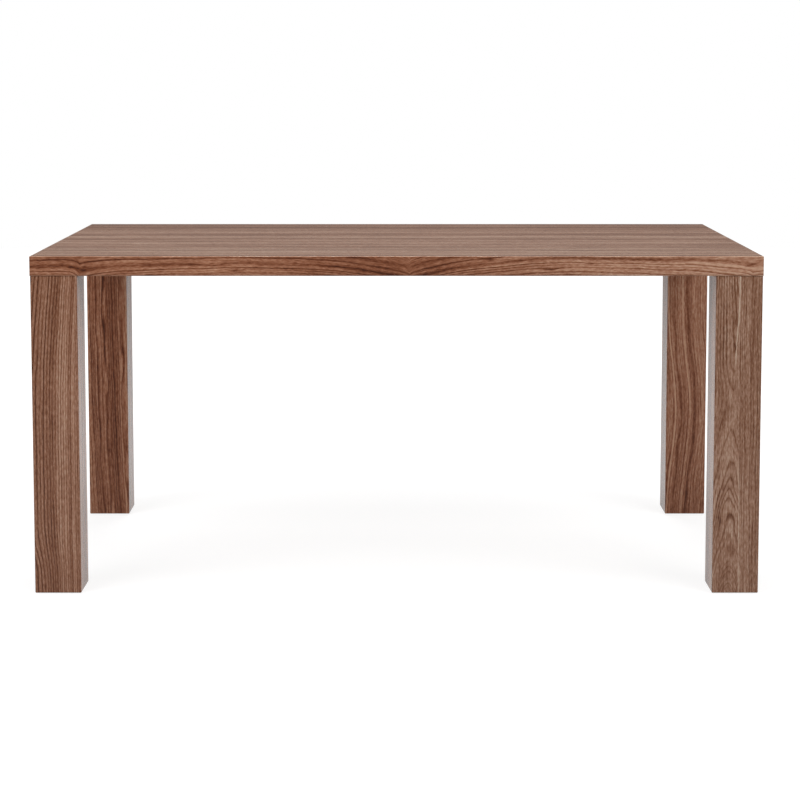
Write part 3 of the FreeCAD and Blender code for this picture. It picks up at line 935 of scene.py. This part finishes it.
# %% Two leaves and their joint
JOINT_WIDTH = 0.0010
JOINT_LIGHT = 0.7
SHUT = 0.08
OPEN_ABOVE = 0.515
ABOVE_GAP = 0.9
OPEN_BELOW = 0.28
BELOW_GAP = 0.6
PANEL_TONE = 0.615
HEAD_LIGHT = 0.06
EDGE_SHADE = 0.06
DARK_SPECKS = ((-0.008, 0.605), (-0.008, 0.548), (-0.036, 0.164))
SPECK_SHADE = 0.2
LEFT_BOLD = 0.4
ARCH_BOLD = 0.4
HOOK_BOLD = 0.5
RIGHT_BOLD = 0.6


def arches(s, t):
    """Front right: hooks and arches to the left of the joint, straight lines to its right.

    The joint is a narrow bell that is paler where it is open. The tone rises towards the head, and falls
    by a step at the right edge and by bells at three dark specks."""
    joint = joint_line(t)
    plain = sliced_log(s, t, heart=0.12, depth=0.03, year=0.0062, bend=0.003, seed=36)
    rings = np.where(s < joint, hooked(s, t), plain)
    opened = SHUT + ABOVE_GAP * step(t, OPEN_ABOVE, softness=0.01)
    opened += BELOW_GAP * step(t, OPEN_BELOW, softness=-0.02)
    tone = PANEL_TONE + HEAD_LIGHT * t + TONE_DRIFT * wander(t, seed=32)
    tone += JOINT_LIGHT * opened * bell(s, joint, JOINT_WIDTH)
    tone -= SPECK_SHADE * spots(s, t, DARK_SPECKS, width=0.005, length=0.010)
    tone -= EDGE_SHADE * step(s, place=0.043, softness=0.002)
    clear = LEFT_BOLD + ARCH_BOLD * bell(t, centre=0.21, width=0.07)
    clear += HOOK_BOLD * step(t, place=0.525, softness=0.015)
    blush, bold = 0.75, np.where(s < joint, clear, RIGHT_BOLD)
    return s, rings, tone, blush, bold


print(f"joint open above {OPEN_ABOVE} m and below {OPEN_BELOW} m")

# %% [markdown]
# ## The back left leg
# Its front panel is red brown, with a dark band between pale lines and a small knot halfway up. The
# lines drift to the right towards the foot. Noise could give bands, but not where the photograph has
# them, so each stripe is written down with its place, width and strength.

# %% Dark streaks
DRIFT = 0.018
DRIFT_FROM = 0.71
DRIFT_POWER = 1.5
PIN_KNOT = (-0.010, 0.345)
PIN_TAIL = (-0.008, 0.318)
KNOT_PUSH = 0.5
SPOT_SHADE = 0.3
RED_TONE = 0.75
DARK_STRIPES = [
    (0.011, 0.010, -0.20),
    (-0.003, 0.002, -0.20),
    (-0.007, 0.002, 0.20),
    (0.031, 0.003, 0.25),
    (-0.042, 0.010, -0.14),
]


def bold_streaks(s, t):
    """Back left: a dark band between pale lines, which drift to the right towards the foot.

    The drift is a power of how far down the leg a point is. A pin knot pushes the rings by half a ring at
    its middle. It is dark, and so is its tail below."""
    before = s - DRIFT * (1 - t / DRIFT_FROM) ** DRIFT_POWER
    rings = sliced_log(before, t, heart=0.09, depth=0.02, year=0.0075, bend=0.003, seed=33)
    rings += KNOT_PUSH * spots(before, t, (PIN_KNOT,), width=0.010, length=0.030)
    tone = RED_TONE + streaks(before, t, DARK_STRIPES, seed=33)
    tone -= SPOT_SHADE * spots(before, t, (PIN_KNOT, PIN_TAIL), width=0.0025, length=0.008)
    blush, bold = 0.1, 1.0
    return before, rings, tone, blush, bold


print(f"dark streaks, with a pin knot {PIN_KNOT[1]} m up")

# %% [markdown]
# ## The back right leg
# Its front panel is golden brown, with thin pale lines that bow to the right below the middle. It is
# made as the back left one is, with stripes that are written down, but with a bow in place of the drift.

# %% Golden lines
BOW_HEIGHT = 0.28
BOW = 0.022
BOW_LENGTH = 0.17
BOW_START = 0.012
GOLDEN_TONE = 0.765
# Painted shade at the foot: how dark it is, and how far up it reaches.
GOLDEN_PAINTED_SHADE = 0.08
GOLDEN_SHADE_REACH = 0.12
GOLDEN_EDGE = 0.10
GOLDEN_STRIPES = [
    (0.0, 0.0016, 0.40),
    (-0.038, 0.0016, 0.34),
    (0.030, 0.0016, 0.26),
    (0.013, 0.007, -0.10),
    (-0.018, 0.010, -0.06),
]


def golden(s, t):
    """Back right: pale lines that bow by a bell along the leg. The foot is darker, a painted shade, and the
    left edge is darker too.
    """
    before = s + BOW_START - BOW * bell(t, BOW_HEIGHT, BOW_LENGTH)
    rings = sliced_log(before, t, heart=-0.12, depth=0.05, year=0.006, bend=0.002, seed=34)
    tone = GOLDEN_TONE + streaks(before, t, GOLDEN_STRIPES, seed=34, sway=0.002)
    # The foot is darkened, a painted shade, and the left edge is darker.
    tone -= GOLDEN_PAINTED_SHADE * np.exp(-t / GOLDEN_SHADE_REACH) + GOLDEN_EDGE * step(s, place=-0.042, softness=-0.003)
    blush, bold = 0.2, 0.6
    return before, rings, tone, blush, bold


print(f"golden lines bow {BOW_HEIGHT} m up")

# %% [markdown]
# ## The plain panels
# The other twelve panels are straight-grained, with a few paler and darker stripes. One panel, copied,
# would look stamped. So each draws its own log at random from its number: no two are alike, and each
# run gives the same ones.

# %% Plain panels
PLAIN_HEARTS = (0.075, 0.13)
PLAIN_TONES = (0.62, 0.68)
PLAIN_YEARS = (0.005, 0.008)
PLAIN_BLUSHES = (0.25, 0.55)
PLAIN_STRIPES = 5
PLAIN_PLACES = (-0.05, 0.05)
PLAIN_WIDTHS = (0.003, 0.009)
PLAIN_STRENGTHS = (-0.12, 0.08)


def plain_figure(seed):
    """Straight-grained veneer: the heart lies outside the panel, to one side, so the lines run up it."""
    draw = np.random.default_rng(seed)
    heart = draw.choice([-1, 1]) * draw.uniform(*PLAIN_HEARTS)
    even_tone = draw.uniform(*PLAIN_TONES)
    year = draw.uniform(*PLAIN_YEARS)
    blush = draw.uniform(*PLAIN_BLUSHES)
    places = draw.uniform(*PLAIN_PLACES, PLAIN_STRIPES)
    widths = draw.uniform(*PLAIN_WIDTHS, PLAIN_STRIPES)
    stripes = list(zip(places, widths, draw.choice(PLAIN_STRENGTHS, PLAIN_STRIPES)))

    def figure(s, t):
        rings = sliced_log(s, t, heart, PLAIN_DEPTH + PLAIN_TAPER * t, year, seed=seed)
        tone = even_tone + TONE_DRIFT * wander(t, seed) + streaks(s, t, stripes, seed)
        bold = 0.8
        return s, rings, tone, blush, bold

    return figure


print(f"{PLAIN_STRIPES} stripes for each plain panel")

# %% All sixteen panels
FIRST_PANEL = 20
FIGURE_COLUMNS = 104
FIGURES = {
    ("front_left", "front"): fine_lines,
    ("front_right", "front"): arches,
    ("back_left", "front"): bold_streaks,
    ("back_right", "front"): golden,
}

for n, corner in enumerate(CORNERS):
    for m, side in enumerate(SIDES):
        number = FIRST_PANEL + len(SIDES) * n + m
        if (corner, side) in FIGURES:
            leg_panel(corner, side, FIGURES[corner, side], number, FIGURE_COLUMNS)
        else:
            leg_panel(corner, side, plain_figure(number), number)
print(f"{len(CORNERS) * len(SIDES)} leg panels, {len(FIGURES)} with a figure of their own")

# %% [markdown]
# ## The other finishes
# Below and inside, the table is plainer: a sealed backing veneer under the top, boards of pressed fibre,
# planed timber, black and zinc-plated steel, and moulded glides. These solids keep their shapes, and each
# finish is a speckle or a grain between two colours, laid out in the table's own metres.

# %% Finishes of the remaining solids
DARK_UNTIL = 0.3
LIGHT_FROM = 0.7
ROUGHNESS_SPREAD = 0.06
SPECKLE_STRENGTH = 0.3


def two_tone(name, dark, light, per_metre, roughness, metallic=0, relief=0):
    """A finish between two colours, mixed by noise with so many features per metre along each axis."""
    material, tree, shader = new_material(name)
    place = add(tree, "ShaderNodeTexCoord").outputs["Object"]
    scaled = add(tree, "ShaderNodeMapping", {"Vector": place, "Scale": per_metre}).outputs["Vector"]
    inputs = {"Vector": scaled, "Scale": 1.0, "Detail": 3.0}
    noise = add(tree, "ShaderNodeTexNoise", inputs).outputs["Fac"]
    colour = ramp(tree, noise, [(DARK_UNTIL, dark), (LIGHT_FROM, light)])
    rough = mapped(tree, noise, 0.0, 1.0, roughness - ROUGHNESS_SPREAD, roughness + ROUGHNESS_SPREAD)
    fill(tree, shader, {"Base Color": colour, "Roughness": rough, "Metallic": metallic})
    if relief:
        fill(tree, shader, {"Normal": bumped(tree, noise, SPECKLE_STRENGTH, relief)})
    return material


FINISHES = {
    "walnut_veneer": walnut_veneer,
    "backing_veneer": two_tone(
        "backing_veneer", (0.20, 0.10, 0.06), (0.33, 0.20, 0.13), (6, 260, 260), roughness=0.45
    ),
    "mdf": two_tone(
        "pressed_fibre", (0.34, 0.22, 0.13), (0.47, 0.33, 0.21), (900, 900, 900), roughness=0.8
    ),
    "core_timber": two_tone(
        "planed_timber", (0.48, 0.34, 0.20), (0.66, 0.51, 0.33), (9, 160, 160), roughness=0.65
    ),
    "black_steel": two_tone(
        "black_powder_coat",
        (0.016, 0.016, 0.018),
        (0.026, 0.026, 0.028),
        (1400, 1400, 1400),
        roughness=0.45,
        relief=0.00005,
    ),
    "zinc_steel": two_tone(
        "zinc_plate", (0.48, 0.49, 0.50), (0.62, 0.63, 0.64), (180, 180, 180), roughness=0.32, metallic=1
    ),
    "black_nylon": two_tone(
        "moulded_nylon",
        (0.014, 0.014, 0.015),
        (0.026, 0.026, 0.027),
        (1100, 1100, 1100),
        roughness=0.5,
        relief=0.00004,
    ),
}
for name, solid in nodes.items():
    solid.data.materials.clear()
    solid.data.materials.append(FINISHES[slot_of[name]])
print(f"{len(FINISHES)} finishes on {len(nodes)} solids")

# %% [markdown]
# ## The floor
# The photograph is cut out on white. The floor here is plain and pale, and lit like any other for what
# stands on it. Only to the camera, and in what lacquer and metal mirror, does it glow, so that it looks
# white with a little of the table's shadow left. More light on the floor would do that too, but would
# bleach the table.

# %% Floor
FLOOR_REACH = 8.0
FLOOR_GREY = 0.74
FLOOR_ROUGHNESS = 0.9
SHADOW_GREY = 0.25
NEAR_GLOW = 0.82
NEAR_REACH = 0.8
FAR_REACH = 2.4
MIRRORED_REACH = 6.0
# What lacquer and metal mirror of the floor: a painted glow, dimmer under the table as a painted shadow,
# and fading far off.
MIRRORED_GLOW = [(0.0, 0.88), (0.125, 0.88), (0.15, 1.0), (0.2, 1.0), (1.0, 0.66)]


def floor_material():
    """Pale matt paint, which camera rays and mirrored rays see lit from within, with a trace of shadow.

    The glow that the camera sees rises to white with the distance from the table's middle. The one that is
    mirrored is dimmer under the table, a painted shadow, and fades far off, a painted falloff of light."""
    material, tree, shader = new_material("pale_floor")
    fill(tree, shader, {"Base Color": grey(FLOOR_GREY), "Roughness": FLOOR_ROUGHNESS})
    place = add(tree, "ShaderNodeTexCoord").outputs["Object"]
    away = add(tree, "ShaderNodeVectorMath", {0: place}, operation="LENGTH").outputs["Value"]
    white = mapped(tree, away, NEAR_REACH, FAR_REACH, NEAR_GLOW, 1.0)
    fading = ramp(tree, calc(tree, "DIVIDE", away, MIRRORED_REACH), MIRRORED_GLOW)
    path = add(tree, "ShaderNodeLightPath").outputs
    glow = mixed(tree, path["Is Camera Ray"], fading, white)
    light = add(tree, "ShaderNodeEmission", {"Strength": glow})
    trace = add(tree, "ShaderNodeBsdfDiffuse", {"Color": grey(SHADOW_GREY)})
    seen = add(tree, "ShaderNodeAddShader", {0: light.outputs[0], 1: trace.outputs[0]})
    mirrored = calc(tree, "MAXIMUM", path["Is Glossy Ray"], path["Is Transmission Ray"])
    looked_at = calc(tree, "MAXIMUM", path["Is Camera Ray"], mirrored)
    shown = add(tree, "ShaderNodeMixShader", {0: looked_at, 1: shader.outputs[0], 2: seen.outputs[0]})
    fill(tree, tree.nodes["Material Output"], {"Surface": shown.outputs[0]})
    return material


floor_mesh = bpy.data.meshes.new("floor")
ends = [(x * FLOOR_REACH, y * FLOOR_REACH, 0) for x, y in ((-1, -1), (1, -1), (1, 1), (-1, 1))]
floor_mesh.from_pydata(ends, [], [(0, 1, 2, 3)])
floor_mesh.materials.append(floor_material())
new_object("floor", floor_mesh)
print(f"floor {2 * FLOOR_REACH:.0f} m wide")

# %% [markdown]
# ## The room
# The camera sees a white room beyond the floor, and lacquer and metal mirror a white ceiling. Only a band
# of the room above the horizon stays dim in them, as dark cards in a studio would make it, because the
# top, which the camera meets at a glancing angle, would glare otherwise. The room's own light is dim too,
# so that the lamps can shape the table.

# %% Room
DIM = 0.2
CEILING_START = 0.45
CEILING_FULL = 0.9

world = bpy.data.worlds.new("dim_room")
bpy.context.scene.world = world
world.use_nodes = True
room = world.node_tree
path = add(room, "ShaderNodeLightPath").outputs
direction = add(room, "ShaderNodeTexCoord").outputs["Generated"]
upward = add(room, "ShaderNodeSeparateXYZ", {0: direction}).outputs["Z"]
ceiling = mapped(room, upward, CEILING_START, CEILING_FULL, DIM, 1.0)
mirrored = calc(room, "MAXIMUM", path["Is Glossy Ray"], path["Is Transmission Ray"])
strength = mixed(room, path["Is Camera Ray"], mixed(room, mirrored, DIM, ceiling), 1.0)
fill(room, room.nodes["Background"], {"Color": grey(1), "Strength": strength})
print(f"room at {DIM} of white, with a white ceiling in mirrors")

# %% [markdown]
# ## The lamps
# Large soft lamps stand where a studio has them: one overhead for the top, one to each side in front for
# the faces of the legs, and one behind for the other views. Small lamps would draw hard shadows. The
# Standard view shows the colours as they are written.

# %% Lamps
# Each has a name, a place, a target, a size in metres and a power in watts.
SOFTBOXES = [
    ("overhead_softbox", (0, -0.4, 3.6), (0, -0.2, 0.7), 2.0, 50),
    ("left_softbox", (-3.0, -2.9, 4.2), (0, 0, 0.4), 3.0, 146),
    ("right_softbox", (3.1, -2.9, 4.2), (0, 0, 0.4), 3.0, 146),
    ("back_softbox", (0, 3.2, 4.8), (0, 0, 0.4), 2.4, 120),
]


def softbox(name, place, target, size, power):
    """A square, soft lamp at a place, turned to face a target."""
    data = bpy.data.lights.new(name, "AREA")
    data.shape = "SQUARE"
    data.size = size
    data.energy = power
    lamp = new_object(name, data)
    lamp.location = place
    lamp.rotation_euler = (Vector(target) - Vector(place)).to_track_quat("-Z", "Y").to_euler()


for box in SOFTBOXES:
    softbox(*box)
bpy.context.scene.view_settings.view_transform = "Standard"
print(f"{len(SOFTBOXES)} softboxes")
